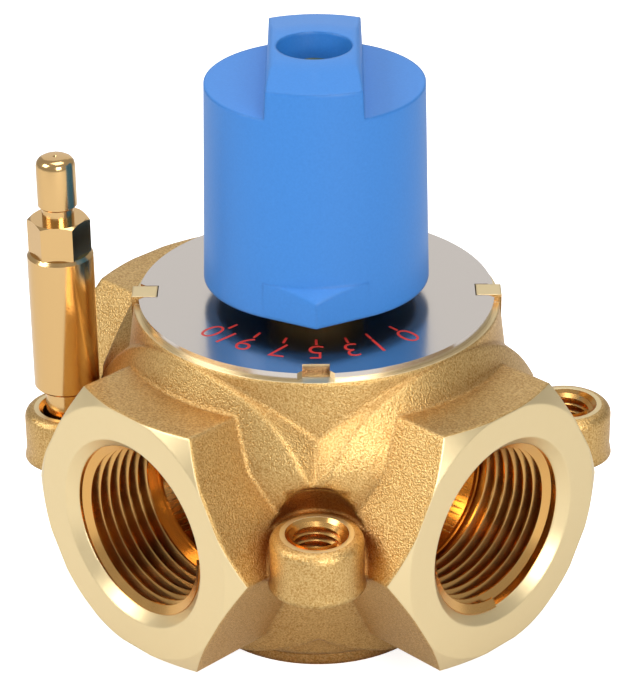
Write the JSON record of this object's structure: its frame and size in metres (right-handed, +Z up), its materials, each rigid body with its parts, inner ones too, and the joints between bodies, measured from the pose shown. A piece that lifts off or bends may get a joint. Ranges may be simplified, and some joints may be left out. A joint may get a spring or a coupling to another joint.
{
  "type": "three-way rotary mixing valve",
  "caption": "Forged brass three-way rotary mixing valve with hexagon threaded ports, round scale plate, tall hand knob and an upright anti-rotation pin.",
  "frame": {"origin": "centre of the flat base disc's underside, on the spindle axis", "axes": "+Z up the spindle, -Y out of the mixed-water port, +X and -X out of the two supply ports"},
  "size_m": [0.096, 0.0905, 0.1168],
  "materials": {
    "forged_brass": "shot blasted forging with machined faces",
    "turned_brass": "turned, bright",
    "yellow_zinc_steel": "yellow zinc plated",
    "blue_nylon": "moulded, fine matt texture",
    "scale_steel": "satin, printed numerals",
    "stainless_steel": "plain",
    "seal_rubber": "moulded",
    "bearing_ptfe": "turned"
  },
  "bodies": {
    "casing": {"valve_body": "forged_brass", "cover": "turned_brass", "cover_screws": "stainless_steel", "cover_seal": "seal_rubber", "scale_plate": "scale_steel", "plate_clip": "stainless_steel", "torque_pin": "turned_brass", "spindle_bush": "bearing_ptfe", "journal_bush": "bearing_ptfe", "floor_washer": "bearing_ptfe", "thrust_washer": "bearing_ptfe", "spring_washer": "stainless_steel"},
    "rotor": {"sector": "turned_brass", "spindle": "turned_brass", "spindle_lower_seal": "seal_rubber", "spindle_upper_seal": "seal_rubber", "knob": "blue_nylon", "knob_washer": "stainless_steel", "knob_screw": "yellow_zinc_steel"}
  },
  "joints": [
    {"name": "knob_turn", "type": "hinge", "parent": "casing", "child": "rotor", "pos_m": [0, 0, 0.0352], "axis": [0, 0, 1], "range_deg": [-45, 45]}
  ]
}
